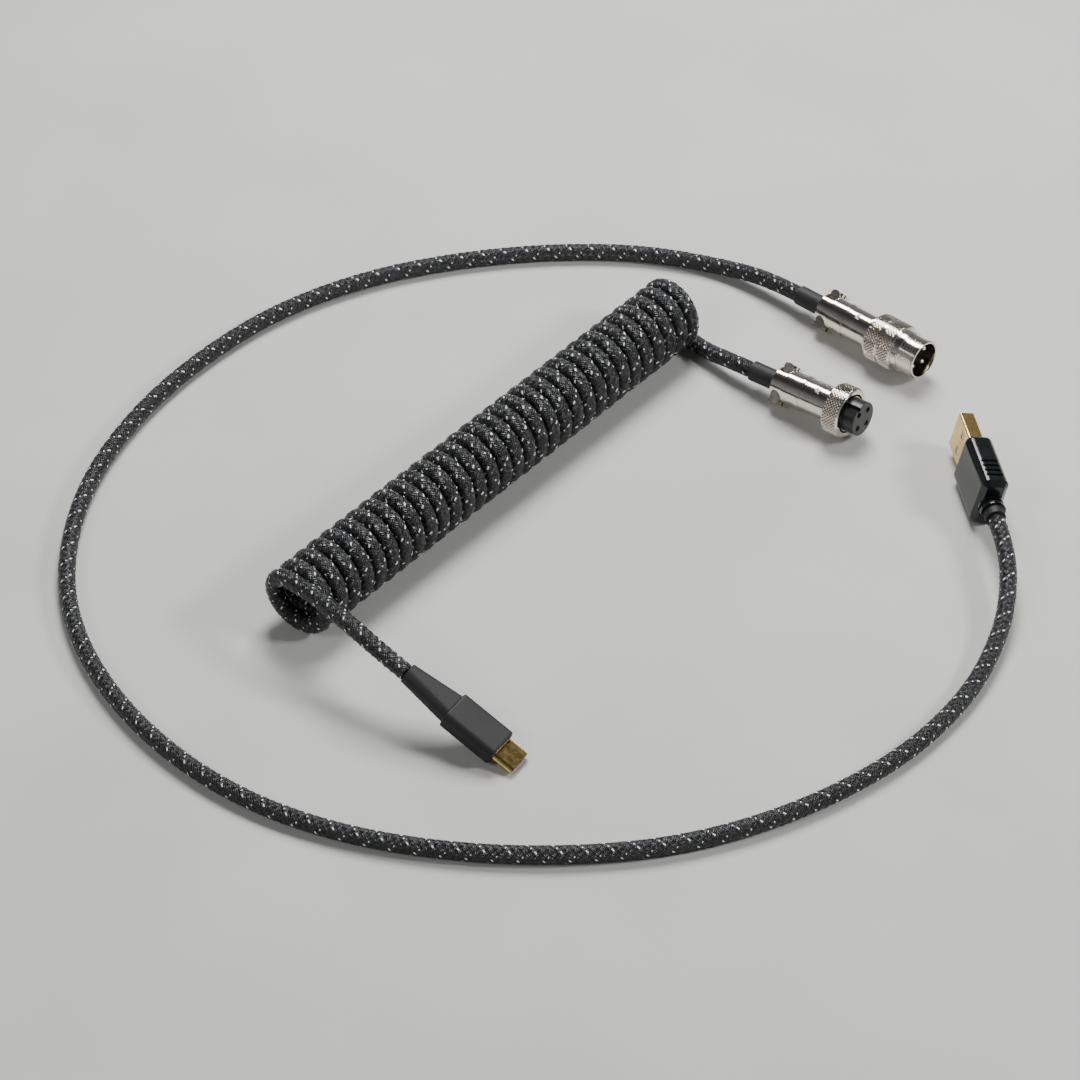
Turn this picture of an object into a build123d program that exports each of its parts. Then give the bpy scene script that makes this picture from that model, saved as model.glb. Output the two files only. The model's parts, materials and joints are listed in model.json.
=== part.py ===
from build123d import *
import math
import os

# A two-piece coiled keyboard cable, in millimetres. Z = 0 is the table it lies on, +X runs along the coil.
# Each connector is drawn along its own +X axis, towards its mating end, and then laid on the table.

# Cord
CORD_D = 5.1
CORD_R = CORD_D / 2
COIL_D = 22.3
COIL_PITCH = 5.3
COIL_TURNS = 31.5
COIL_X = -99.0
COIL_Y = 72.25
LYING = CORD_R + 0.05
CORE_R = 1.5

# Aviator connectors with a 12 mm thread
THREAD_R = 6.0
CUP_R = 5.3
INSERT_R = 5.2
BARREL_R = 5.2
BARREL_BORE = 4.2
REAR_BORE = 3.05
KNURL_R = 7.4
NUT_R = 7.8
NUT_LENGTH = 5.8
NUT_TRAVEL = 3.6
FIT = 0.05
PIN_CIRCLE_R = 3.15
PIN_R = 0.75
PIN_COUNT = 4
PIN_START = 35.0
SOCKET_R = 0.92
SLEEVE_R = 3.0

# USB-C plug
C_WIDTH = 8.34
C_HEIGHT = 2.56
C_LENGTH = 6.65
C_WALL = 0.3
C_BODY_LENGTH = 16.5
C_BODY_WIDTH = 10.8
C_BODY_HEIGHT = 6.2
C_SLEEVE_LENGTH = 15.5

# USB-A plug
A_WIDTH = 12.0
A_HEIGHT = 4.5
A_LENGTH = 12.0
A_WALL = 0.3
A_BODY_LENGTH = 21.0
A_BODY_WIDTH = 16.2
A_BODY_HEIGHT = 8.2
A_NECK_LENGTH = 3.2
A_COLLAR_LENGTH = 2.8

# Middle of the connectors' box, so that it comes to X = Y = 0
MIDDLE_X = 1.23
MIDDLE_Y = -1.3


def at(x, y, z):
    """A point of the layout, moved so that the connectors' box is centred on the origin."""
    return Vector(x - MIDDLE_X, y - MIDDLE_Y, z)


def lay(point, heading, pitch, roll):
    """Where a connector lies: its heading on the table, how far its nose is raised, and its roll."""
    return Pos(*point) * Rot(0, 0, heading) * Rot(0, -pitch, 0) * Rot(roll, 0, 0)


FEMALE = lay(at(66.5, 5.9, 8.12), -88.0, 3.5, 0)
MALE = lay(at(99.3, 3.9, 8.32), -93.2, 3.0, 0)
USB_C = lay(at(-98.29, -1.83, 3.7), -83.0, -22.0, 0)
USB_A = lay(at(73.98, -31.85, 8.5), 50.5, 0, 12.0)
CLAMP_ROLL = 42.0


# Solids along X

def turned(*outline):
    """A ring turned about the X axis, from the (along, radius) corners of its section."""
    return revolve(make_face(Polyline(*outline, close=True)), Axis.X)


def tube(start, end, outer, bore=0.0):
    return turned((start, bore), (end, bore), (end, outer), (start, outer))


def slab(start, end, width, height, corner):
    """A bar along X with a rounded rectangle as its section, its width along Y."""
    section = Plane.YZ * RectangleRounded(width, height, corner)
    return Pos(start, 0, 0) * extrude(section, end - start)


def block(start, end, width, height, y=0.0, z=0.0):
    return Pos((start + end) / 2, y, z) * Box(end - start, width, height)


def around(count, first=0.0):
    return [Rot(first + 360 / count * i, 0, 0) for i in range(count)]


def group(solids):
    return Compound(children=list(solids))


# Cable clamp and barrels, shared by both aviator connectors. X = 0 is the joint of the two barrels.

CLAMP_START = -10.6
CLAMP_END = -6.0
SCREW_Y = 4.65
SCREW_R = 0.9
SCREW_HOLE_R = 0.95
HEAD_R = 1.75


def rear_barrel():
    """The rear barrel, with the half of the cable clamp that is one piece with it."""
    body = turned((CLAMP_END, REAR_BORE), (-0.9, REAR_BORE), (-0.9, 4.15), (3.0, 4.15),
                  (3.0, 3.3), (-0.2, 3.3), (-0.2, 2.6), (CLAMP_END, 2.6))
    body += tube(CLAMP_END, -0.9, BARREL_R, REAR_BORE)
    cradle = tube(CLAMP_START, CLAMP_END, BARREL_R, SLEEVE_R)
    cradle += block(CLAMP_START + 0.4, CLAMP_END, 2 * BARREL_R + 2.0, 2.6, z=-1.6)
    cradle -= tube(CLAMP_START - 1, CLAMP_END + 1, SLEEVE_R)
    cradle -= block(CLAMP_START - 1, CLAMP_END + 1, 20, 10, z=4.7)
    for side in (-1, 1):
        cradle -= Pos((CLAMP_START + CLAMP_END) / 2 + 0.2, side * SCREW_Y, 0) * Cylinder(SCREW_HOLE_R, 20)
    return body + Rot(CLAMP_ROLL, 0, 0) * cradle


def groove_ring():
    return tube(-0.9, 0.0, BARREL_R + 0.25, 4.15)


def clamp_strap():
    strap = tube(CLAMP_START + 0.4, CLAMP_END - 0.2, BARREL_R - 0.4, SLEEVE_R)
    strap += block(CLAMP_START + 0.4, CLAMP_END - 0.2, 2 * BARREL_R + 2.0, 1.2, z=0.8)
    strap -= tube(CLAMP_START - 1, CLAMP_END + 1, SLEEVE_R)
    strap -= block(CLAMP_START - 1, CLAMP_END + 1, 20, 20, z=-9.8)
    for side in (-1, 1):
        place = Pos((CLAMP_START + CLAMP_END) / 2 + 0.2, side * SCREW_Y, 0)
        strap -= place * Cylinder(SCREW_HOLE_R, 20)
        strap -= place * Pos(0, 0, 1.4 + 2.5) * Cylinder(HEAD_R + 0.1, 5.0)
    return Rot(CLAMP_ROLL, 0, 0) * strap


def clamp_screws():
    screws = []
    for side in (-1, 1):
        head = Pos(0, 0, 1.97) * Cylinder(HEAD_R, 1.1)
        head -= Pos(0, 0, 2.3) * Box(2 * HEAD_R, 0.45, 0.6)
        shank = Pos(0, 0, -0.65) * Cylinder(SCREW_R, 4.3)
        place = Pos((CLAMP_START + CLAMP_END) / 2 + 0.2, side * SCREW_Y, 0)
        screws.append(Rot(CLAMP_ROLL, 0, 0) * place * (head + shank))
    return group(screws)


def heat_shrink(start, end):
    return tube(start, end, SLEEVE_R, CORD_R)


def wires(start, split, end, circle, count):
    """The cable's core, opening into its separate wires behind the contacts."""
    core = [tube(start, split, CORE_R)]
    for turn in around(count, PIN_START):
        core.append(turn * Pos((split + end) / 2, circle, 0) * Rot(0, 90, 0) * Cylinder(0.45, end - split))
    return group(core)


def set_screw(along, angle):
    screw = Rot(angle, 0, 0) * Pos(along, 0, BARREL_R - 0.45) * Cylinder(0.8, 1.5)
    return screw


# Female aviator: X = 0 is the front of its knurled coupling nut, pulled back

F_BARREL = -15.5
F_NUT_REAR = -NUT_LENGTH
F_LIP = 1.1
F_WASHER = 0.4
F_NECK_R = 4.9
F_STOP_START = F_NUT_REAR + F_LIP + F_WASHER + NUT_TRAVEL + 0.1
F_NOSE = 4.2


def female():
    nodes = {}
    back = Pos(F_BARREL, 0, 0)
    nodes["female_heat_shrink"] = heat_shrink(-35.0, F_BARREL + CLAMP_END)
    nodes["female_rear_barrel"] = back * rear_barrel()
    nodes["female_groove_ring"] = back * groove_ring()
    nodes["female_clamp_strap"] = back * clamp_strap()
    nodes["female_clamp_screws"] = back * clamp_screws()
    nodes["female_cable_core"] = wires(-35.0, -11.5, -8.0, PIN_CIRCLE_R, PIN_COUNT)
    nodes["female_barrel"] = turned(
        (F_BARREL, 4.2), (F_BARREL, BARREL_R), (F_NUT_REAR - 0.6, BARREL_R), (F_NUT_REAR - 0.6, F_NECK_R),
        (F_STOP_START, F_NECK_R), (F_STOP_START, 5.4), (-0.12, 5.4), (-0.12, BARREL_BORE))
    screw_hole = Rot(20, 0, 0) * Pos(F_BARREL + 5.0, 0, BARREL_R) * Cylinder(0.8, 2.4)
    nodes["female_barrel"] -= screw_hole
    nodes["female_set_screw"] = Pos(F_BARREL, 0, 0) * set_screw(5.0, 20)
    stem = tube(-8.0, -0.12, BARREL_BORE - FIT)
    nose = tube(-0.12, F_NOSE, INSERT_R)
    key = Rot(114 - 90, 0, 0) * block(-0.2, F_NOSE + 1, 1.7, 1.6, z=INSERT_R - 0.3)
    insert = stem + nose - key
    contacts = []
    for turn in around(PIN_COUNT, PIN_START):
        insert -= turn * Pos((F_NOSE - 8.0) / 2, PIN_CIRCLE_R, 0) * Rot(0, 90, 0) * Cylinder(SOCKET_R, 30)
        socket = tube(-6.5, F_NOSE - 0.3, SOCKET_R, PIN_R + 0.02) + tube(-8.0, -6.5, SOCKET_R)
        contacts.append(turn * Pos(0, PIN_CIRCLE_R, 0) * socket)
    nodes["female_insert"] = insert
    nodes["female_socket_contacts"] = group(contacts)
    washer_at = F_NUT_REAR + F_LIP
    nodes["coupling_nut_washer"] = tube(washer_at + 0.02, washer_at + F_WASHER, THREAD_R - 0.4, F_NECK_R + FIT)
    nodes["coupling_nut"] = turned(
        (F_NUT_REAR, F_NECK_R + FIT), (washer_at, F_NECK_R + FIT), (washer_at, THREAD_R + FIT),
        (0, THREAD_R + FIT), (0, NUT_R - 0.5), (-0.5, NUT_R), (F_NUT_REAR + 0.5, NUT_R), (F_NUT_REAR, NUT_R - 0.5))
    return nodes


# Male aviator: X = 0 is the rim of its threaded cup

M_BARREL = -28.0
M_SEAM = -13.1
M_RING_REAR = M_SEAM - 5.0
M_CUP_FLOOR = -6.2


def male():
    nodes = {}
    back = Pos(M_BARREL, 0, 0)
    nodes["male_heat_shrink"] = heat_shrink(-48.0, M_BARREL + CLAMP_END)
    nodes["male_rear_barrel"] = back * rear_barrel()
    nodes["male_groove_ring"] = back * groove_ring()
    nodes["male_clamp_strap"] = back * clamp_strap()
    nodes["male_clamp_screws"] = back * clamp_screws()
    nodes["male_cable_core"] = wires(-48.0, -16.0, -9.6, PIN_CIRCLE_R - 0.1, PIN_COUNT)
    barrel = tube(M_BARREL, M_SEAM, BARREL_R, BARREL_BORE)
    barrel += tube(M_RING_REAR - 1.0, M_RING_REAR - FIT, BARREL_R + 0.6, BARREL_BORE)
    barrel -= Rot(20, 0, 0) * Pos(M_BARREL + 4.0, 0, BARREL_R) * Cylinder(0.8, 2.4)
    nodes["male_barrel"] = barrel
    nodes["male_set_screw"] = Pos(M_BARREL, 0, 0) * set_screw(4.0, 20)
    nodes["lock_ring"] = turned(
        (M_RING_REAR, BARREL_R + FIT), (M_SEAM - FIT, BARREL_R + FIT), (M_SEAM - FIT, KNURL_R - 0.4),
        (M_SEAM - 0.4, KNURL_R), (M_RING_REAR + 0.5, KNURL_R), (M_RING_REAR, KNURL_R - 0.5))
    nodes["male_shell"] = turned(
        (M_SEAM - 3.0, 3.6), (M_SEAM - 3.0, BARREL_BORE), (M_SEAM, BARREL_BORE), (M_SEAM, KNURL_R - 0.4),
        (M_SEAM + 0.4, KNURL_R), (-8.5, KNURL_R), (-8.0, KNURL_R - 0.5), (-8.0, 6.5), (-5.8, 6.5),
        (-5.8, THREAD_R), (0, THREAD_R), (0, CUP_R), (-9.6, CUP_R), (-9.6, 3.6))
    ridge = Rot(114 - 90, 0, 0) * block(M_CUP_FLOOR, -1.2, 1.4, 0.9, z=CUP_R - 0.35)
    nodes["male_shell"] += ridge
    insert = tube(-9.6, M_CUP_FLOOR, CUP_R)
    pins = []
    for turn in around(PIN_COUNT, PIN_START):
        insert -= turn * Pos(M_CUP_FLOOR - 1.5, PIN_CIRCLE_R, 0) * Rot(0, 90, 0) * Cylinder(PIN_R, 10)
        pin = tube(-9.6, -2.4, PIN_R) + Pos(-2.4, 0, 0) * Sphere(PIN_R)
        pins.append(turn * Pos(0, PIN_CIRCLE_R, 0) * pin)
    nodes["male_insert"] = insert
    nodes["male_pins"] = group(pins)
    return nodes


# USB-C plug: X = 0 is the front of its body

def usb_c():
    nodes = {}
    shell = slab(-5.0, C_LENGTH, C_WIDTH, C_HEIGHT, C_HEIGHT / 2 - 0.02)
    inner = C_HEIGHT / 2 - C_WALL
    shell -= slab(-6.0, C_LENGTH + 1, C_WIDTH - 2 * C_WALL, 2 * inner, inner - 0.02)
    nodes["usb_c_shell"] = shell
    seat = slab(-5.0, 1.2, C_WIDTH - 2 * C_WALL, 2 * inner, inner - 0.02)
    lining = slab(1.2, C_LENGTH - 0.4, C_WIDTH - 2 * C_WALL, 2 * inner, inner - 0.02)
    lining -= slab(0.0, C_LENGTH + 1, 6.9, 1.1, 0.2)
    nodes["usb_c_insulator"] = seat + lining
    contacts = []
    for row in (-1, 1):
        for i in range(12):
            contacts.append(block(1.3, C_LENGTH - 0.9, 0.24, 0.12, y=(i - 5.5) * 0.5, z=row * 0.48))
    nodes["usb_c_contacts"] = group(contacts)
    latches = [block(1.3, C_LENGTH - 1.2, 0.2, 0.6, y=side * 3.3) for side in (-1, 1)]
    nodes["usb_c_latch_springs"] = group(latches)
    nodes["usb_c_circuit_board"] = block(-13.0, -5.0, 8.6, 0.8)
    rear = -C_BODY_LENGTH
    housing = slab(rear + 0.5, 0.0, C_BODY_WIDTH - 0.6, C_BODY_HEIGHT - 0.6, 1.6)
    housing -= slab(rear + 1.7, -1.2, C_BODY_WIDTH - 1.8, C_BODY_HEIGHT - 1.8, 1.2)
    housing -= slab(-2.0, 1.0, C_WIDTH, C_HEIGHT, C_HEIGHT / 2 - 0.02)
    housing -= tube(rear - 1.0, rear + 3.0, CORE_R + 0.1)
    nodes["usb_c_housing"] = housing
    skin = slab(rear, 0.35, C_BODY_WIDTH, C_BODY_HEIGHT, 1.9)
    skin = fillet(skin.faces().sort_by(Axis.X)[-1].edges(), 0.8)
    skin = fillet(skin.faces().sort_by(Axis.X)[0].edges(), 0.6)
    skin -= slab(rear - 1.0, 0.0, C_BODY_WIDTH - 0.6, C_BODY_HEIGHT - 0.6, 1.6)
    skin -= slab(-1.0, 1.0, C_WIDTH + 0.1, C_HEIGHT + 0.1, C_HEIGHT / 2)
    nodes["usb_c_body_sleeve"] = skin
    wide = Plane.YZ.offset(rear) * RectangleRounded(C_BODY_WIDTH - 1.8, C_BODY_HEIGHT - 0.4, 2.2)
    narrow = Plane.YZ.offset(rear - C_SLEEVE_LENGTH) * RectangleRounded(5.8, 5.7, 2.8)
    nodes["usb_c_strain_sleeve"] = loft([wide, narrow]) - tube(rear - 40, rear + 1, CORE_R)
    nodes["usb_c_cable_core"] = tube(rear - C_SLEEVE_LENGTH, -13.0, CORE_R)
    return nodes


# USB-A plug, standing on its narrow edge: X = 0 is the front of its body, its width is upright

def upright(shape):
    return Rot(90, 0, 0) * shape


def usb_a():
    nodes = {}
    shell = slab(-6.0, A_LENGTH, A_WIDTH, A_HEIGHT, 0.5)
    shell -= slab(-7.0, A_LENGTH + 1, A_WIDTH - 2 * A_WALL, A_HEIGHT - 2 * A_WALL, 0.3)
    for side in (-1, 1):
        shell -= block(4.0, 6.4, 2.4, 10, y=side * 2.9)
    nodes["usb_a_shell"] = upright(shell)
    tongue = block(-6.0, A_LENGTH - 0.4, A_WIDTH - 2 * A_WALL - 0.7, 1.85, z=-1.0)
    tongue += slab(-6.0, -0.5, A_WIDTH - 2 * A_WALL - 0.1, A_HEIGHT - 2 * A_WALL - 0.1, 0.35)
    nodes["usb_a_insulator"] = upright(tongue)
    contacts = []
    for i, length in enumerate((10.6, 9.4, 9.4, 10.6)):
        contacts.append(block(0.5, length, 1.0, 0.2, y=(i - 1.5) * 2.3, z=0.025))
    nodes["usb_a_contacts"] = upright(group(contacts))
    nodes["usb_a_circuit_board"] = upright(block(-14.0, -6.0, 10.0, 0.8))
    body = slab(-A_BODY_LENGTH, 0.0, A_BODY_WIDTH, A_BODY_HEIGHT, 2.4)
    body = chamfer(body.faces().sort_by(Axis.X)[0].edges(), 1.5)
    body = fillet(body.faces().sort_by(Axis.X)[-1].edges(), 1.5)
    for i in range(4):
        for side in (-1, 1):
            body -= block(-17.6 + 2.0 * i, -16.8 + 2.0 * i, 1.0, 5.0, y=side * A_BODY_WIDTH / 2)
    neck_end = -A_BODY_LENGTH - A_NECK_LENGTH
    neck = tube(neck_end, -A_BODY_LENGTH, 3.2) + tube(neck_end, neck_end + 1.2, 3.7)
    neck += tube(neck_end + 2.2, neck_end + 3.0, 3.7)
    body = body + neck
    body -= block(-15.0, -6.0, 10.6, 4.4)
    body -= slab(-6.0, 1.0, A_WIDTH, A_HEIGHT, 0.5)
    body -= tube(neck_end - 1, -14.0, CORE_R)
    nodes["usb_a_overmould"] = upright(body)
    nodes["usb_a_heat_shrink"] = tube(neck_end - A_COLLAR_LENGTH, neck_end, SLEEVE_R, CORE_R)
    nodes["usb_a_cable_core"] = tube(neck_end - A_COLLAR_LENGTH, -14.0, CORE_R)
    return nodes


# Cords

USB_C_LEAD = [at(-101.97, 28.07, 15.64), at(-103.1, 37.3, 19.4), at(-102.0, 49.0, 21.1),
              at(-99.9, 61.9, 20.7)]

AVIATOR_LEAD = [at(65.28, 40.86, 5.98), at(65.0, 49.8, 5.4), at(65.8, 58.4, 3.4), at(67.4, 66.0, LYING)]

HOST_LEAD = [at(101.97, 51.76, 5.81), at(102.7, 64.7, 5.1), at(100.0, 82.0, LYING), at(90.0, 103.5, LYING),
             at(72.5, 124.8, LYING), at(51.2, 143.5, LYING), at(27.0, 158.8, LYING), at(-1.6, 169.0, LYING),
             at(-32.0, 171.6, LYING), at(-62.0, 168.7, LYING), at(-91.5, 159.6, LYING), at(-116.5, 144.0, LYING),
             at(-135.5, 124.5, LYING), at(-148.8, 99.0, LYING), at(-156.0, 70.0, LYING), at(-156.3, 40.0, LYING),
             at(-149.2, 12.0, LYING), at(-135.5, -14.5, LYING), at(-116.5, -39.5, LYING), at(-92.5, -61.5, LYING),
             at(-63.4, -76.8, LYING), at(-31.0, -85.6, LYING), at(0.0, -85.4, LYING), at(23.4, -78.8, 4.0),
             at(37.3, -71.5, 6.8), at(49.18, -61.94, 8.5), at(56.81, -52.68, 8.5)]


def corner_radii(route):
    """Each corner's arc is as large as its two runs allow."""
    radii = []
    for before, here, after in zip(route, route[1:], route[2:]):
        turn = (here - before).get_angle(after - here)
        run = min((here - before).length, (after - here).length)
        radii.append(0.45 * run / math.tan(math.radians(turn) / 2))
    return radii


def cord(route, name):
    radii = corner_radii(route)
    path = FilletPolyline(*route, radius=radii)
    section = Plane(origin=route[0], z_dir=route[1] - route[0]) * Circle(CORD_R)
    solid = sweep(section, path)
    print(name, "length", round(path.length, 1), "radii", [round(r) for r in radii],
          "volume ratio", round(solid.volume / (math.pi * CORD_R ** 2 * path.length), 4))
    return solid


def coil():
    """The coil's outer shape: a tube round its open middle."""
    length = COIL_TURNS * COIL_PITCH + CORD_D
    middle = at(COIL_X - CORD_R + length / 2, COIL_Y, COIL_D / 2 + 0.05)
    return Pos(*middle) * Rot(0, 90, 0) * (Cylinder(COIL_D / 2, length) - Cylinder(COIL_D / 2 - CORD_D, length + 2))


def assembly():
    nodes = {"coil": coil()}
    nodes["usb_c_lead"] = cord(USB_C_LEAD, "usb_c_lead")
    nodes["aviator_lead"] = cord(AVIATOR_LEAD, "aviator_lead")
    nodes["host_lead"] = cord(HOST_LEAD, "host_lead")
    for place, connector in ((FEMALE, female()), (MALE, male()), (USB_C, usb_c()), (USB_A, usb_a())):
        for name, shape in connector.items():
            nodes[name] = place * shape
    return nodes


os.makedirs("parts", exist_ok=True)
for name, shape in assembly().items():
    export_step(shape, f"parts/{name}.step")
    box = shape.bounding_box()
    print(name, round(shape.volume, 2), [round(v, 2) for v in (*box.min, *box.max)])
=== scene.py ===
"""Looks of the coiled keyboard cable: braided cords, plated connectors, plugs, table and light.

Sizes of the cable are in millimetres and turned into metres where a mesh is made. Each connector is drawn
along its own +X axis, with its mating end at 0, and laid where its CAD nodes are.
"""

import json
import math

import bpy
import numpy as np
from mathutils import Matrix, Vector


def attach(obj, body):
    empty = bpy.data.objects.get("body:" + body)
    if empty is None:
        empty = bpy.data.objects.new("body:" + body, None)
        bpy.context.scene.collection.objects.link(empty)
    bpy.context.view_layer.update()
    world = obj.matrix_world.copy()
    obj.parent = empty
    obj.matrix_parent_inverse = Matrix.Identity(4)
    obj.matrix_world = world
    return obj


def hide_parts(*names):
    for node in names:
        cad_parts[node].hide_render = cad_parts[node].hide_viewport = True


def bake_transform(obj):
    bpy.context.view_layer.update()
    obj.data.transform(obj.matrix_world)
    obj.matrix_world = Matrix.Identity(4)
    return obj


MM = 0.001
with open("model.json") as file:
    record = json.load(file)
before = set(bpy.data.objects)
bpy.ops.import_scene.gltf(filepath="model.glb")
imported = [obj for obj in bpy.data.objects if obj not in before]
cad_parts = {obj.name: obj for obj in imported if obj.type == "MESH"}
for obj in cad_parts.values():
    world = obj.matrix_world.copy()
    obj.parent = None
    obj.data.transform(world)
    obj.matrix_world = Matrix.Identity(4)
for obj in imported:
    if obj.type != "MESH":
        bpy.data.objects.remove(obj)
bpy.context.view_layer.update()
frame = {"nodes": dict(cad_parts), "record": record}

# Middle of the connectors' box, as in the CAD
MIDDLE_X = 1.23
MIDDLE_Y = -1.3

# Cord
CORD_D = 5.1
CORD_R = CORD_D / 2
LYING = CORD_R + 0.05
COIL_MEAN_R = 8.6
COIL_PITCH = 5.3
COIL_TURNS = 31.5
COIL_X = -99.0
COIL_Y = 72.25
COIL_Z = 11.2
POINTS_PER_TURN = 16

# Braid: carriers each way, those of them that hold white threads, and the length of one turn round the cord
CARRIERS = 6
TRACERS = (0, 3)
BRAID_PITCH = 13.4
STRAND = {"half_length": 1.70, "half_width": 0.80, "sink": 0.42, "rise": 0.02}
LONG_FLECK = {"half_length": 0.46, "half_width": 0.20, "sink": 0.10, "rise": 0.07, "rows": 3}
SHORT_FLECK = {"half_length": 0.30, "half_width": 0.17, "sink": 0.10, "rise": 0.06, "rows": 3}
CORE_R = CORD_R - 0.32
CORE_SIDES = 10
CORE_STEP = 2.0

# Aviator connectors
THREAD_R = 6.0
THREAD_PITCH = 1.0
THREAD_DEPTH = 0.5
CUP_R = 5.3
NUT_R = 7.8
KNURL_R = 7.4
KNURL_PITCH = 1.06
KNURL_DEPTH = 0.38
UNDER_KNURL = 0.35

SEGMENTS = 96


def at(x, y, z):
    """A point of the layout, in metres in the shared frame."""
    return Vector((x - MIDDLE_X, y - MIDDLE_Y, z)) * MM


def lay(point, heading, pitch, roll):
    """Where a connector lies: its heading on the table, how far its nose is raised, and its roll."""
    turn = Matrix.Rotation(math.radians(heading), 4, "Z")
    raise_nose = Matrix.Rotation(math.radians(-pitch), 4, "Y")
    return Matrix.Translation(point) @ turn @ raise_nose @ Matrix.Rotation(math.radians(roll), 4, "X")


FEMALE = lay(at(66.5, 5.9, 8.12), -88.0, 3.5, 0)
MALE = lay(at(99.3, 3.9, 8.32), -93.2, 3.0, 0)
USB_C = lay(at(-98.29, -1.83, 3.7), -83.0, -22.0, 0)
USB_A = lay(at(73.98, -31.85, 8.5), 50.5, 0, 12.0)


# Materials


def new_material(name):
    """A new material with its Principled shader, its nodes and its links."""
    material = bpy.data.materials.new(name)
    material.use_nodes = True
    nodes = material.node_tree.nodes
    return material, nodes["Principled BSDF"], nodes, material.node_tree.links


def noise(nodes, links, scale, detail=4.0):
    """Cloudy noise from 0 to 1, in the object's own coordinates."""
    where = nodes.new("ShaderNodeTexCoord")
    texture = nodes.new("ShaderNodeTexNoise")
    texture.inputs["Scale"].default_value = scale
    texture.inputs["Detail"].default_value = detail
    links.new(where.outputs["Object"], texture.inputs["Vector"])
    return texture.outputs["Fac"]


def ramp(nodes, links, value, low, high, start=0.35, end=0.65):
    """A colour between low and high as value goes from start to end."""
    node = nodes.new("ShaderNodeValToRGB")
    node.color_ramp.elements[0].position = start
    node.color_ramp.elements[1].position = end
    node.color_ramp.elements[0].color = (*low, 1)
    node.color_ramp.elements[1].color = (*high, 1)
    links.new(value, node.inputs["Fac"])
    return node.outputs["Color"]


def spread(nodes, links, value, low, high, start=0.0, end=1.0):
    """A number between low and high as value goes from start to end."""
    node = nodes.new("ShaderNodeMapRange")
    node.inputs["From Min"].default_value = start
    node.inputs["From Max"].default_value = end
    node.inputs["To Min"].default_value = low
    node.inputs["To Max"].default_value = high
    links.new(value, node.inputs["Value"])
    return node.outputs["Result"]


def bump(nodes, links, shader, height, strength, distance):
    """Relief on the shader's surface, distance deep in metres."""
    node = nodes.new("ShaderNodeBump")
    node.inputs["Strength"].default_value = strength
    node.inputs["Distance"].default_value = distance
    links.new(height, node.inputs["Height"])
    links.new(node.outputs["Normal"], shader.inputs["Normal"])


def plated(name, colour, worn, roughness):
    """Polished plating, with faint clouding and handling marks."""
    material, shader, nodes, links = new_material(name)
    shader.inputs["Metallic"].default_value = 1.0
    cloud = noise(nodes, links, 260.0)
    links.new(ramp(nodes, links, cloud, worn, colour), shader.inputs["Base Color"])
    fine = noise(nodes, links, 900.0, 6.0)
    links.new(spread(nodes, links, fine, roughness * 0.7, roughness * 1.5), shader.inputs["Roughness"])
    bump(nodes, links, shader, fine, 0.08, 0.00005)
    return material


def moulded(name, colour, pale, roughness, grain, depth):
    """Moulded plastic or rubber with a fine surface grain."""
    material, shader, nodes, links = new_material(name)
    tone = noise(nodes, links, 120.0)
    links.new(ramp(nodes, links, tone, colour, pale), shader.inputs["Base Color"])
    fine = noise(nodes, links, grain, 8.0)
    links.new(spread(nodes, links, fine, roughness * 0.85, roughness * 1.15), shader.inputs["Roughness"])
    bump(nodes, links, shader, fine, 0.25, depth)
    return material


def calculate(nodes, links, operation, first, second=None):
    """One step of arithmetic in a material. Each input is a number or another node's output."""
    node = nodes.new("ShaderNodeMath")
    node.operation = operation
    for slot, value in zip(node.inputs, (first, second)):
        if isinstance(value, bpy.types.NodeSocket):
            links.new(value, slot)
        elif value is not None:
            slot.default_value = value
    return node.outputs["Value"]


def filament_material(name, dark, light, roughness, threads):
    """A carrier of parallel filaments: a painted highlight, a broken pale line in the base colour along the
    crest of each, dark in between.
    """
    material, shader, nodes, links = new_material(name)
    where = nodes.new("ShaderNodeUVMap")
    where.uv_map = "strand"
    parts = nodes.new("ShaderNodeSeparateXYZ")
    links.new(where.outputs["UV"], parts.inputs["Vector"])
    angle = calculate(nodes, links, "MULTIPLY", parts.outputs["X"], 2 * math.pi * threads)
    wave = calculate(nodes, links, "COSINE", angle)
    ridge = spread(nodes, links, wave, 1.0, 0.0, -1.0, 1.0)
    # Painted highlight: the base colour turns pale along each filament's crest, broken by noise, standing
    # in for the glint of a glossy filament.
    crest = spread(nodes, links, ridge, 0.0, 1.0, 0.55, 0.95)
    broken = spread(nodes, links, noise(nodes, links, 1300.0, 2.0), 0.05, 1.0, 0.42, 0.62)
    painted_highlight = calculate(nodes, links, "MULTIPLY", crest, broken)
    links.new(ramp(nodes, links, painted_highlight, dark, light, 0.0, 1.0), shader.inputs["Base Color"])
    shader.inputs["Roughness"].default_value = roughness
    bump(nodes, links, shader, ridge, 1.0, 0.00015)
    return material


nickel = plated("nickel", (0.84, 0.78, 0.70), (0.76, 0.70, 0.62), 0.11)
steel = plated("plated_steel", (0.76, 0.70, 0.62), (0.62, 0.56, 0.49), 0.20)
gold = plated("gold", (0.83, 0.60, 0.24), (0.74, 0.51, 0.18), 0.18)
heat_shrink = moulded("heat_shrink", (0.005, 0.005, 0.006), (0.009, 0.009, 0.010), 0.60, 1500.0, 0.00005)
white_plastic = moulded("white_plastic", (0.76, 0.76, 0.74), (0.82, 0.82, 0.80), 0.40, 700.0, 0.00002)
gloss_black = moulded("gloss_black", (0.004, 0.005, 0.005), (0.007, 0.009, 0.009), 0.17, 600.0, 0.00002)
insulator = moulded("insulator", (0.003, 0.004, 0.005), (0.007, 0.008, 0.010), 0.36, 900.0, 0.00003)
jacket = moulded("cable_jacket", (0.05, 0.05, 0.055), (0.08, 0.08, 0.085), 0.55, 900.0, 0.00003)
board = moulded("circuit_board", (0.010, 0.060, 0.025), (0.018, 0.095, 0.040), 0.40, 700.0, 0.00002)
braid_core = moulded("braid_core", (0.003, 0.003, 0.004), (0.006, 0.006, 0.007), 0.7, 1800.0, 0.00005)
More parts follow.
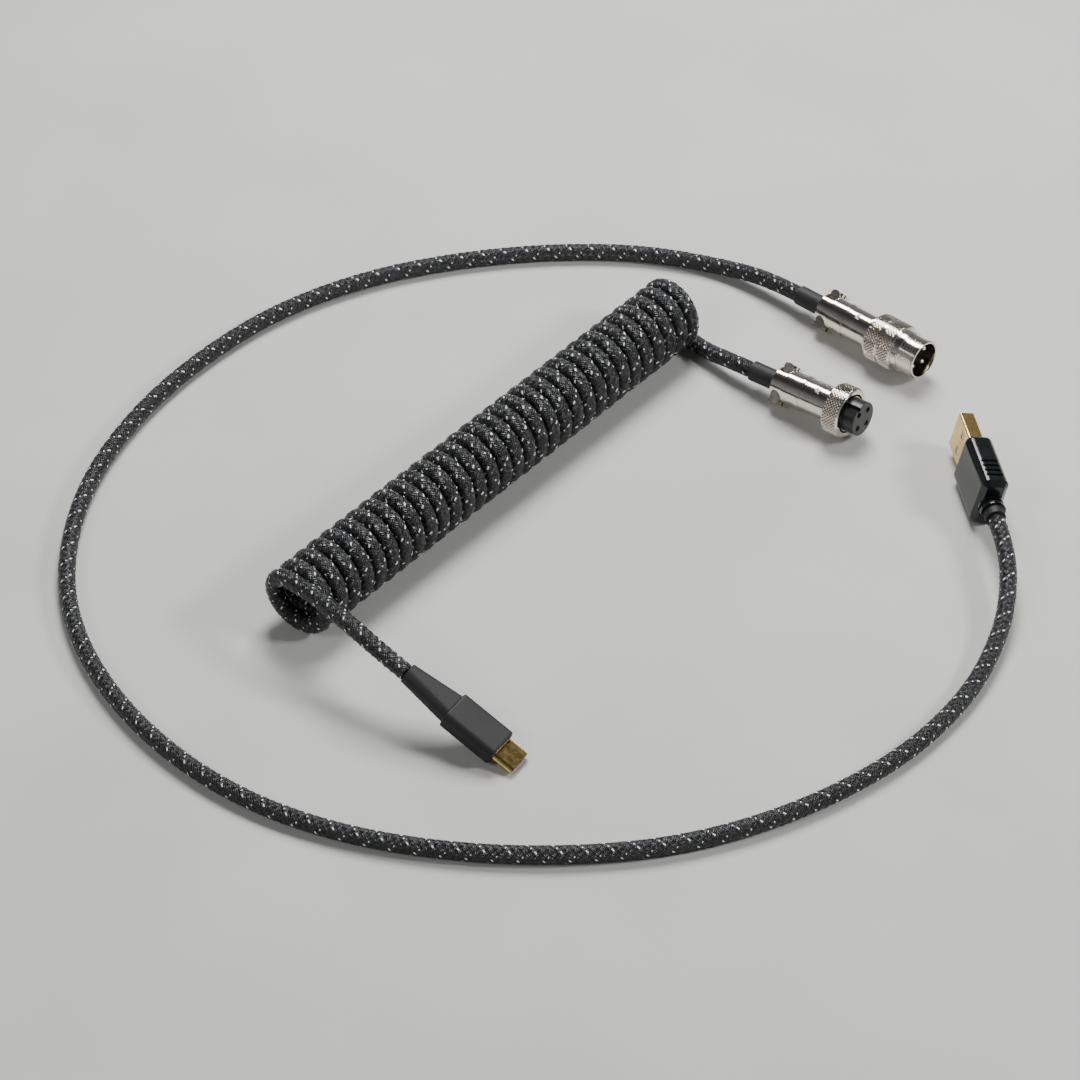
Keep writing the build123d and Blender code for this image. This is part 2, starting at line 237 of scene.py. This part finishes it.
# The second colour of braid_black is the painted highlight along the filament crests, not a colour of the
# filaments.
braid_black = filament_material("braid_black", (0.002, 0.002, 0.003), (0.085, 0.088, 0.092), 0.32, 3)
braid_white = moulded("braid_white", (0.88, 0.88, 0.86), (0.95, 0.95, 0.94), 0.35, 900.0, 0.00003)

SLOT_MATERIALS = {
    "heat_shrink": heat_shrink,
    "nickel": nickel,
    "steel": steel,
    "gold": gold,
    "insulator": insulator,
    "gloss_black": gloss_black,
    "core": jacket,
    "board": board,
    "braid": braid_core,
}


def paint_cad():
    """Each CAD node takes the material of its slot in the record; the USB-A plug's inside is white."""
    for part in frame["record"]["subparts"]:
        node = frame["nodes"][part["node"]]
        material = SLOT_MATERIALS[part["material_slot"]]
        if part["node"] == "usb_a_insulator":
            material = white_plastic
        node.data.materials.clear()
        node.data.materials.append(material)


# Meshes


def make_object(name, vertices, faces, material, smooth=True):
    """A mesh object in the scene, made from its points and faces."""
    mesh = bpy.data.meshes.new(name)
    mesh.from_pydata([tuple(v) for v in vertices], [], faces)
    mesh.update()
    made = bpy.data.objects.new(name, mesh)
    bpy.context.scene.collection.objects.link(made)
    if material is not None:
        mesh.materials.append(material)
    mesh.polygons.foreach_set("use_smooth", [smooth] * len(mesh.polygons))
    return made


def lathe(name, place, outline, material, edge=0.12):
    """A ring turned about the connector's axis from its (along, radius) section, with eased edges."""
    vertices = []
    faces = []
    count = len(outline)
    for s in range(SEGMENTS):
        a = 2 * math.pi * s / SEGMENTS
        for x, r in outline:
            vertices.append(place @ (Vector((x, r * math.cos(a), r * math.sin(a))) * MM))
    for s in range(SEGMENTS):
        here = s * count
        there = (s + 1) % SEGMENTS * count
        for i in range(count):
            j = (i + 1) % count
            faces.append((here + i, here + j, there + j, there + i))
    made = make_object(name, vertices, faces, material)
    made.data.set_sharp_from_angle(angle=math.radians(30))
    if edge:
        bevel = made.modifiers.new("eased", "BEVEL")
        bevel.width = edge * MM
        bevel.segments = 2
        bevel.limit_method = "ANGLE"
        bevel.angle_limit = math.radians(35)
    return made


def knurl(name, place, start, end, radius, depth, material):
    """A band of diamond knurling: four-sided points on a staggered grid, with valleys between them."""
    around = 2 * round(2 * math.pi * radius / KNURL_PITCH)
    rows = 2 * round((end - start) / KNURL_PITCH)
    vertices = []
    faces = []
    for row in range(rows + 1):
        x = start + (end - start) * row / rows
        for i in range(around):
            a = 2 * math.pi * i / around
            r = radius if (row + i) % 2 and 0 < row < rows else radius - depth
            vertices.append(place @ (Vector((x, r * math.cos(a), r * math.sin(a))) * MM))
    for row in range(rows):
        for i in range(around):
            a = row * around + i
            b = row * around + (i + 1) % around
            c = b + around
            d = a + around
            if (row + i) % 2:
                faces += [(a, b, d), (b, c, d)]
            else:
                faces += [(a, b, c), (a, c, d)]
    return make_object(name, vertices, faces, material, smooth=False)


def thread(name, place, start, end, radius, depth, material):
    """An outside thread: rounded crests that climb one pitch in each turn."""
    rows = round((end - start) / THREAD_PITCH * 10)
    vertices = []
    faces = []
    for row in range(rows + 1):
        x = start + (end - start) * row / rows
        fade = min(1.0, min(x - start, end - x) / (0.4 * THREAD_PITCH))
        for s in range(SEGMENTS):
            a = 2 * math.pi * s / SEGMENTS
            phase = (x / THREAD_PITCH - s / SEGMENTS) % 1.0
            r = radius - depth * fade * abs(2 * phase - 1)
            vertices.append(place @ (Vector((x, r * math.cos(a), r * math.sin(a))) * MM))
    for row in range(rows):
        for s in range(SEGMENTS):
            a = row * SEGMENTS + s
            b = row * SEGMENTS + (s + 1) % SEGMENTS
            faces.append((a, b, b + SEGMENTS, a + SEGMENTS))
    return make_object(name, vertices, faces, material)


# Cords


def route_curve(name, points):
    """A cord's line: a NURBS spline with the route's points as its control points."""
    curve = bpy.data.curves.new(name, "CURVE")
    curve.dimensions = "3D"
    spline = curve.splines.new("NURBS")
    spline.points.add(len(points) - 1)
    for slot, point in zip(spline.points, points):
        slot.co = (*point, 1.0)
    spline.order_u = 3
    spline.use_endpoint_u = True
    spline.resolution_u = 6
    return curve


def read_line(curve):
    """The points of a curve without bevel, as Blender draws it, evenly spaced."""
    holder = bpy.data.objects.new(curve.name + "_line", curve)
    bpy.context.scene.collection.objects.link(holder)
    mesh = bpy.data.meshes.new_from_object(holder)
    line = np.array([v.co[:] for v in mesh.vertices])
    bpy.data.objects.remove(holder)
    bpy.data.meshes.remove(mesh)
    keep = np.r_[True, np.linalg.norm(np.diff(line, axis=0), axis=1) > 1e-7]
    line = line[keep]
    gone = np.r_[0, np.cumsum(np.linalg.norm(np.diff(line, axis=0), axis=1))]
    even = np.linspace(0, gone[-1], int(gone[-1] / (0.8 * MM)) + 1)
    return even, np.stack([np.interp(even, gone, line[:, i]) for i in range(3)], axis=1)


def moving_frame(line):
    """Two side directions along a line that turn no more than they must."""
    along = np.gradient(line, axis=0)
    along /= np.linalg.norm(along, axis=1)[:, None]
    side = np.empty_like(line)
    start = np.cross(along[0], (0.0, 0.0, 1.0))
    side[0] = start / np.linalg.norm(start)
    for i in range(1, len(line)):
        moved = side[i - 1] - along[i] * np.dot(side[i - 1], along[i])
        side[i] = moved / np.linalg.norm(moved)
    return side, np.cross(along, side)


class Path:
    """A cord's centreline, with points on its skin found from length along, angle round and radius."""

    def __init__(self, curve):
        self.gone, self.line = read_line(curve)
        self.length = self.gone[-1]
        self.side, self.up = moving_frame(self.line)

    def blend(self, values, s):
        return np.stack([np.interp(s, self.gone, values[:, i]) for i in range(3)], axis=-1)

    def skin(self, s, angle, radius):
        out = self.blend(self.side, s) * np.cos(angle)[..., None]
        out += self.blend(self.up, s) * np.sin(angle)[..., None]
        out /= np.linalg.norm(out, axis=-1)[..., None]
        return self.blend(self.line, s) + out * radius[..., None]


def grid_faces(count, rows, columns):
    """Quads of count separate patches of rows by columns points."""
    first = np.arange(rows - 1)[:, None] * columns + np.arange(columns - 1)[None, :]
    quad = np.stack([first, first + 1, first + columns + 1, first + columns], axis=-1).reshape(-1, 4)
    return (np.arange(count)[:, None, None] * rows * columns + quad[None]).reshape(-1, 4)


def core_tube(path):
    """The dark sleeve under the strands, as points, quads and strand coordinates."""
    s = np.linspace(0, path.length, int(path.length / (CORE_STEP * MM)) + 1)
    angle = np.linspace(0, 2 * math.pi, CORE_SIDES + 1)
    grid_s, grid_a = np.meshgrid(s, angle, indexing="ij")
    points = path.skin(grid_s, grid_a, np.full(grid_s.shape, CORE_R * MM))
    uv = np.stack([grid_a / (2 * math.pi), grid_s / MM], axis=-1)
    return points.reshape(-1, 3), grid_faces(1, len(s), CORE_SIDES + 1), uv.reshape(-1, 2)


def strands(path, way, only, half_length, half_width, sink, rise, rows=5, columns=3):
    """Where the carriers in only, all winding one way, pass over the others: a small bulged patch each."""
    step = BRAID_PITCH / (2 * CARRIERS) * MM
    first = 0 if way > 0 else 1
    rings = np.arange(first, int(path.length / step), 2)
    ring, carrier = np.meshgrid(rings, np.array(only), indexing="ij")
    middle_s = (ring * step).ravel()
    middle_a = (2 * math.pi * (carrier / CARRIERS + way * ring / (2 * CARRIERS))).ravel()
    slope = math.atan(2 * math.pi * CORD_R / BRAID_PITCH)
    a, b = np.meshgrid(np.linspace(-1, 1, rows), np.linspace(-1, 1, columns), indexing="ij")
    along = (a * half_length * math.cos(slope) - b * half_width * math.sin(slope)) * MM
    across = (a * half_length * math.sin(slope) + b * half_width * math.cos(slope)) * way
    s = np.clip(middle_s[:, None, None] + along[None], 0, path.length)
    angle = middle_a[:, None, None] + across[None] / CORD_R
    arch = np.cos(a * math.pi / 2) * 0.85 + 0.15
    height = CORD_R - sink + (sink + rise) * arch * (1 - 0.45 * b ** 2)
    points = path.skin(s, angle, np.broadcast_to(height[None] * MM, s.shape).copy())
    uv = np.broadcast_to(np.stack([b / 2 + 0.5, a / 2 + 0.5], axis=-1)[None], (*s.shape, 2))
    return points.reshape(-1, 3), grid_faces(len(middle_s), rows, columns), uv.reshape(-1, 2)


def braided_cord(name, path):
    """A whole cord in one mesh: the dark sleeve, the black carriers each way and the white tracers."""
    every = range(CARRIERS)
    layers = [
        (core_tube(path), 0),
        (strands(path, 1, every, **STRAND), 1),
        (strands(path, -1, every, **STRAND), 1),
        (strands(path, 1, TRACERS, **LONG_FLECK), 2),
        (strands(path, -1, TRACERS, **SHORT_FLECK), 2),
    ]
    points, faces, uvs, slots = [], [], [], []
    count = 0
    for (layer_points, layer_faces, layer_uv), slot in layers:
        points.append(layer_points)
        faces.append(layer_faces + count)
        uvs.append(layer_uv)
        slots.append(np.full(len(layer_faces), slot))
        count += len(layer_points)
    faces = np.concatenate(faces)
    made = make_object(name, np.concatenate(points), faces.tolist(), None)
    for material in (braid_core, braid_black, braid_white):
        made.data.materials.append(material)
    made.data.polygons.foreach_set("material_index", np.concatenate(slots).astype(np.int32))
    layer = made.data.uv_layers.new(name="strand")
    layer.data.foreach_set("uv", np.concatenate(uvs)[faces.ravel()].astype(np.float32).ravel())
    return made


def coil_turns():
    """The coil's turns, from the top of its USB-C end to the bottom of its aviator end, not quite even."""
    rng = np.random.default_rng(11)
    reach = COIL_MEAN_R / math.cos(math.pi / POINTS_PER_TURN)
    steps = round(COIL_TURNS * POINTS_PER_TURN)
    loose = np.convolve(rng.normal(0, 1, steps + 40), np.ones(24) / 24, "same")[20:]
    points = []
    for i in range(steps + 1):
        turn = i / POINTS_PER_TURN
        a = math.pi / 2 - 2 * math.pi * turn
        r = reach + 0.35 * min(0.0, loose[i])
        x = COIL_X + COIL_PITCH * turn + 0.5 * loose[i] * math.sin(math.pi * i / steps)
        points.append(at(x, COIL_Y + r * math.cos(a), COIL_Z + r * math.sin(a)))
    return points


USB_C_LEAD = [at(-101.97, 28.07, 15.64), at(-103.1, 37.3, 19.4), at(-102.0, 49.0, 21.1),
              at(-99.9, 61.9, 20.7), at(-99.1, 67.5, 20.0)]

AVIATOR_LEAD = [at(67.4, 66.0, LYING), at(65.8, 58.4, 3.4), at(65.0, 49.8, 5.4), at(65.28, 40.86, 5.98)]

HOST_LEAD = [at(101.97, 51.76, 5.81), at(102.7, 64.7, 5.1), at(100.0, 82.0, LYING), at(90.0, 103.5, LYING),
             at(72.5, 124.8, LYING), at(51.2, 143.5, LYING), at(27.0, 158.8, LYING), at(-1.6, 169.0, LYING),
             at(-32.0, 171.6, LYING), at(-62.0, 168.7, LYING), at(-91.5, 159.6, LYING),
             at(-116.5, 144.0, LYING), at(-135.5, 124.5, LYING), at(-148.8, 99.0, LYING),
             at(-156.0, 70.0, LYING), at(-156.3, 40.0, LYING), at(-149.2, 12.0, LYING),
             at(-135.5, -14.5, LYING), at(-116.5, -39.5, LYING), at(-92.5, -61.5, LYING),
             at(-63.4, -76.8, LYING), at(-31.0, -85.6, LYING), at(0.0, -85.4, LYING), at(23.4, -78.8, 4.0),
             at(37.3, -71.5, 6.8), at(49.18, -61.94, 8.5), at(56.81, -52.68, 8.5)]


def make_device_cord():
    """One cord from the USB-C plug through the coil to the female connector."""
    path = Path(route_curve("device_route", USB_C_LEAD + coil_turns() + AVIATOR_LEAD))
    cord = braided_cord("device_cord", path)
    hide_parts("usb_c_lead", "coil", "aviator_lead")
    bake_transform(cord)


def make_host_cord():
    """The long lead, in one loop on the table."""
    path = Path(route_curve("host_route", HOST_LEAD))
    cord = braided_cord("host_cord", path)
    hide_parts("host_lead")
    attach(cord, "host_half")


# Connectors


def make_coupling_nut():
    """The female connector's nut: a lip at the back, an open front, knurled between its two chamfers."""
    rear = -5.8
    chamfer = 0.35
    lip = 1.1
    body_r = NUT_R - UNDER_KNURL
    ring = lathe("coupling_nut_body", FEMALE, [
        (rear, 4.95), (rear + lip, 4.95), (rear + lip, 6.05), (0, 6.05), (0, NUT_R - 0.75),
        (-chamfer, body_r), (rear + chamfer, body_r), (rear, NUT_R - 0.75)], nickel, 0.06)
    teeth = knurl("coupling_nut_knurl", FEMALE, rear + chamfer, -chamfer, NUT_R, KNURL_DEPTH, nickel)
    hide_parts("coupling_nut")
    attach(ring, "coupling_nut")
    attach(teeth, "coupling_nut")


def make_lock_ring():
    """The knurled ring behind the male connector's shell."""
    rear, knurl_start, knurl_end, front = -18.1, -17.75, -13.4, -13.15
    body_r = KNURL_R - UNDER_KNURL
    ring = lathe("lock_ring_body", MALE, [
        (rear, 5.25), (front, 5.25), (front, KNURL_R - 0.6), (knurl_end, body_r), (knurl_start, body_r),
        (rear, KNURL_R - 0.7)], nickel, 0.05)
    teeth = knurl("lock_ring_knurl", MALE, knurl_start, knurl_end, KNURL_R, KNURL_DEPTH, nickel)
    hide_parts("lock_ring")
    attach(ring, "lock_ring")
    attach(teeth, "lock_ring")


def make_male_shell():
    """The male connector's shell: spigot, knurled band, smooth ring, thread and the cup round the pins."""
    knurl_start, knurl_end = -12.85, -8.35
    thread_start, thread_end = -5.8, -0.4
    body_r = KNURL_R - UNDER_KNURL
    root_r = THREAD_R - THREAD_DEPTH
    mouth_r = THREAD_R - 0.12
    shell = lathe("male_shell_body", MALE, [
        (-16.1, 3.6), (-16.1, 4.2), (-13.1, 4.2), (-13.1, KNURL_R - 0.6), (knurl_start, body_r),
        (knurl_end, body_r), (-8.0, KNURL_R - 0.7), (-8.0, 6.3), (-7.4, 6.3), (-7.4, 6.5),
        (thread_start, 6.5), (thread_start, root_r), (-0.45, root_r), (-0.45, mouth_r), (0, mouth_r),
        (0, CUP_R), (-9.6, CUP_R), (-9.6, 3.6)], nickel, 0.07)
    teeth = knurl("male_shell_knurl", MALE, knurl_start, knurl_end, KNURL_R, KNURL_DEPTH, nickel)
    crests = thread("male_shell_thread", MALE, thread_start, thread_end, THREAD_R, THREAD_DEPTH, nickel)
    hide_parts("male_shell")
    for piece in (shell, teeth, crests):
        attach(piece, "host_half")


# Stage, light and camera

CAMERA_AZIMUTH = -49.57
CAMERA_ELEVATION = 43.0
CAMERA_DISTANCE = 1.160
CAMERA_TARGET = Vector((-0.02743, 0.04671, 0.0))
SENSOR_WIDTH = 36.0
LENS = 136.4333
TABLE_HALF = 3.0


def direction(azimuth, elevation):
    """The way from the middle of the table to something at this azimuth and elevation, in degrees."""
    a, e = math.radians(azimuth), math.radians(elevation)
    return Vector((math.sin(a) * math.cos(e), -math.cos(a) * math.cos(e), math.sin(e)))


def make_camera():
    """The scene's camera, aimed at the middle of the cable."""
    data = bpy.data.cameras.new("camera")
    data.sensor_width = SENSOR_WIDTH
    data.lens = LENS
    camera = bpy.data.objects.new("camera", data)
    bpy.context.scene.collection.objects.link(camera)
    back = direction(CAMERA_AZIMUTH, CAMERA_ELEVATION)
    camera.location = CAMERA_TARGET + back * CAMERA_DISTANCE
    camera.rotation_mode = "QUATERNION"
    camera.rotation_quaternion = (-back).to_track_quat("-Z", "Y")
    bpy.context.scene.camera = camera


def make_light(name, azimuth, elevation, distance, size, power):
    """A square lamp aimed at the origin, with its size in metres and its power in watts."""
    data = bpy.data.lights.new(name, "AREA")
    data.size = size
    data.energy = power
    lamp = bpy.data.objects.new(name, data)
    bpy.context.scene.collection.objects.link(lamp)
    out = direction(azimuth, elevation)
    lamp.location = out * distance
    lamp.rotation_mode = "QUATERNION"
    lamp.rotation_quaternion = (-out).to_track_quat("-Z", "Y")


def make_world():
    """Pale near the horizon and dark overhead, so that polished metal has something to show."""
    world = bpy.data.worlds.new("world")
    world.use_nodes = True
    nodes = world.node_tree.nodes
    links = world.node_tree.links
    where = nodes.new("ShaderNodeTexCoord")
    parts = nodes.new("ShaderNodeSeparateXYZ")
    links.new(where.outputs["Generated"], parts.inputs["Vector"])
    sky = ramp(nodes, links, parts.outputs["Z"], (0.62, 0.63, 0.65), (0.07, 0.07, 0.08), 0.05, 0.75)
    links.new(sky, nodes["Background"].inputs["Color"])
    nodes["Background"].inputs["Strength"].default_value = 0.5
    bpy.context.scene.world = world


def make_stage():
    """A plain pale table under a soft key lamp behind the cable, with a strip and a fill at its sides."""
    material, shader, nodes, links = new_material("table")
    tone = noise(nodes, links, 14.0, 2.0)
    links.new(ramp(nodes, links, tone, (0.54, 0.54, 0.52), (0.58, 0.58, 0.56)), shader.inputs["Base Color"])
    shader.inputs["Roughness"].default_value = 0.75
    corners = [(x * TABLE_HALF, y * TABLE_HALF, 0) for x, y in ((-1, -1), (1, -1), (1, 1), (-1, 1))]
    make_object("table", corners, [(0, 1, 2, 3)], material)
    make_world()
    make_light("key", CAMERA_AZIMUTH + 178, 56, 1.1, 0.50, 17)
    make_light("strip", CAMERA_AZIMUTH + 80, 38, 1.0, 0.18, 6)
    make_light("fill", CAMERA_AZIMUTH - 55, 42, 1.4, 0.35, 4)


paint_cad()
make_device_cord()
make_host_cord()
make_coupling_nut()
make_lock_ring()
make_male_shell()
make_stage()
make_camera()
